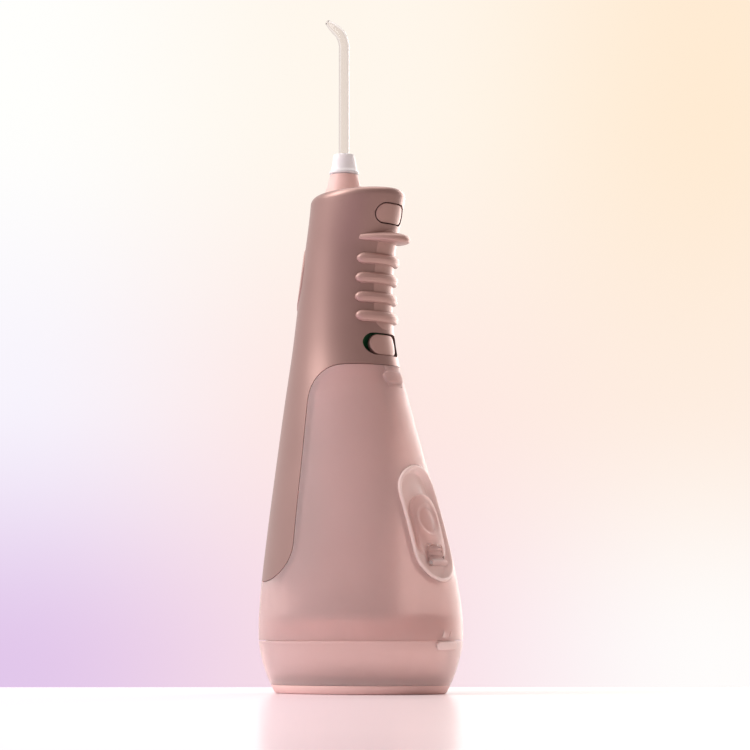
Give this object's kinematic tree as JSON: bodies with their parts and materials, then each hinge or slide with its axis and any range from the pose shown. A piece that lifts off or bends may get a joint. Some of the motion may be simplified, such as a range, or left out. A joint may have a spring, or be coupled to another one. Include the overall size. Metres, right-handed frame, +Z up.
{
  "type": "water flosser",
  "caption": "Cordless handheld water flosser with a bent clear jet tip, ribbed grip, buttons, slide-off frosted tank with a hinged fill door, and a push-fit base.",
  "frame": {"origin": "middle of the flat foot that the object stands on", "axes": "+Z up along the body to the tip, front with the buttons and fill door towards -Y, +X across the body"},
  "size_m": [0.0662, 0.0859, 0.2667],
  "materials": {
    "rose_plastic": "satin metallic-look rose moulding",
    "rose_grip": "satin",
    "pearl_rose": "satin pearl",
    "frosted_rose": "frosted translucent",
    "pale_nylon": "translucent white",
    "clear_plastic": "clear, smooth",
    "seal_rubber": "soft matte",
    "inner_plastic": "moulded matte",
    "white_nylon": "moulded nylon",
    "steel": "bright",
    "motor_steel": "zinc plated",
    "brass": "bright",
    "board_green": "solder mask",
    "cell_sleeve": "printed sleeve without text"
  },
  "bodies": {
    "handle": {"main_housing": "rose_plastic", "grip_strip": "rose_grip", "finger_flange": "rose_grip", "grip_rib_1": "rose_grip", "grip_rib_2": "rose_grip", "grip_rib_3": "rose_grip", "grip_rib_4": "rose_grip", "back_pad": "rose_grip", "eject_spring": "steel", "tip_socket": "inner_plastic", "pump_cylinder": "inner_plastic", "outlet_valve": "seal_rubber", "outlet_hose": "seal_rubber", "gear_bracket": "inner_plastic", "motor": "motor_steel", "motor_mount": "inner_plastic", "suction_hose": "seal_rubber", "core_casing": "rose_plastic", "battery_cover": "rose_plastic", "cover_screw_1": "steel", "cover_screw_2": "steel", "battery_seal": "seal_rubber", "battery_cell_1": "cell_sleeve", "battery_cell_2": "cell_sleeve", "battery_cell_3": "cell_sleeve", "contact_plate_lower": "brass", "contact_plate_upper": "brass", "circuit_board": "board_green", "switch_block": "inner_plastic"},
    "tank": {"tank_shell": "frosted_rose", "tank_tab": "frosted_rose", "port_frame": "frosted_rose", "door_pin": "steel"},
    "fill_door": {"fill_door": "frosted_rose", "door_plug": "seal_rubber"},
    "base": {"base_cup": "frosted_rose", "base_latch_tab": "frosted_rose", "base_seal": "seal_rubber", "foot_pad": "seal_rubber"},
    "eject_button": {"eject_button": "rose_grip"},
    "latch": {"latch_plate": "steel"},
    "power_button": {"power_button": "rose_grip"},
    "tip_knob": {"rotation_knob": "pearl_rose"},
    "jet_tip": {"tip_ring": "pale_nylon", "jet_tube": "clear_plastic", "jet_nozzle": "clear_plastic"},
    "pinion": {"motor_pinion": "brass"},
    "crank": {"crown_gear": "white_nylon"},
    "piston": {"piston": "white_nylon", "piston_seal": "seal_rubber", "connecting_rod": "steel"}
  },
  "joints": [
    {"name": "tank_slide", "type": "slide", "parent": "handle", "child": "tank", "axis": [0, 0, -1], "range_m": [0, 0.11]},
    {"name": "door_hinge", "type": "hinge", "parent": "tank", "child": "fill_door", "pos_m": [0, -0.0379, 0.0494], "axis": [1, 0, 0], "range_deg": [0, 100]},
    {"name": "base_slide", "type": "slide", "parent": "tank", "child": "base", "axis": [0, 0, -1], "range_m": [0, 0.025]},
    {"name": "eject_press", "type": "slide", "parent": "handle", "child": "eject_button", "axis": [0, 1, 0], "range_m": [0, 0.002], "stiffness_N_per_m": 300, "springref_m": -0.002, "deforming": ["eject_spring"]},
    {"name": "latch_slide", "type": "slide", "parent": "handle", "child": "latch", "axis": [0, 1, 0], "range_m": [0, 0.002]},
    {"name": "power_press", "type": "slide", "parent": "handle", "child": "power_button", "axis": [0, 1, 0], "range_m": [0, 0.0012], "stiffness_N_per_m": 400, "springref_m": -0.002},
    {"name": "knob_turn", "type": "hinge", "parent": "handle", "child": "tip_knob", "pos_m": [0, 0.0082, 0.1933], "axis": [0, 0, 1], "continuous": true},
    {"name": "tip_lift", "type": "slide", "parent": "tip_knob", "child": "jet_tip", "axis": [0, 0, 1], "range_m": [0, 0.03]},
    {"name": "crank_spin", "type": "hinge", "parent": "handle", "child": "crank", "pos_m": [0, 0.0082, 0.122], "axis": [1, 0, 0], "continuous": true},
    {"name": "motor_spin", "type": "hinge", "parent": "handle", "child": "pinion", "pos_m": [0, 0.0082, 0.111], "axis": [0, 0, 1], "continuous": true},
    {"name": "piston_stroke", "type": "slide", "parent": "handle", "child": "piston", "axis": [0, 0, 1], "range_m": [-0.006, 0]}
  ],
  "couplings": [
    {"joint": "latch_slide", "follows": "eject_press", "ratio": 1},
    {"joint": "motor_spin", "follows": "crank_spin", "ratio": 3}
  ]
}
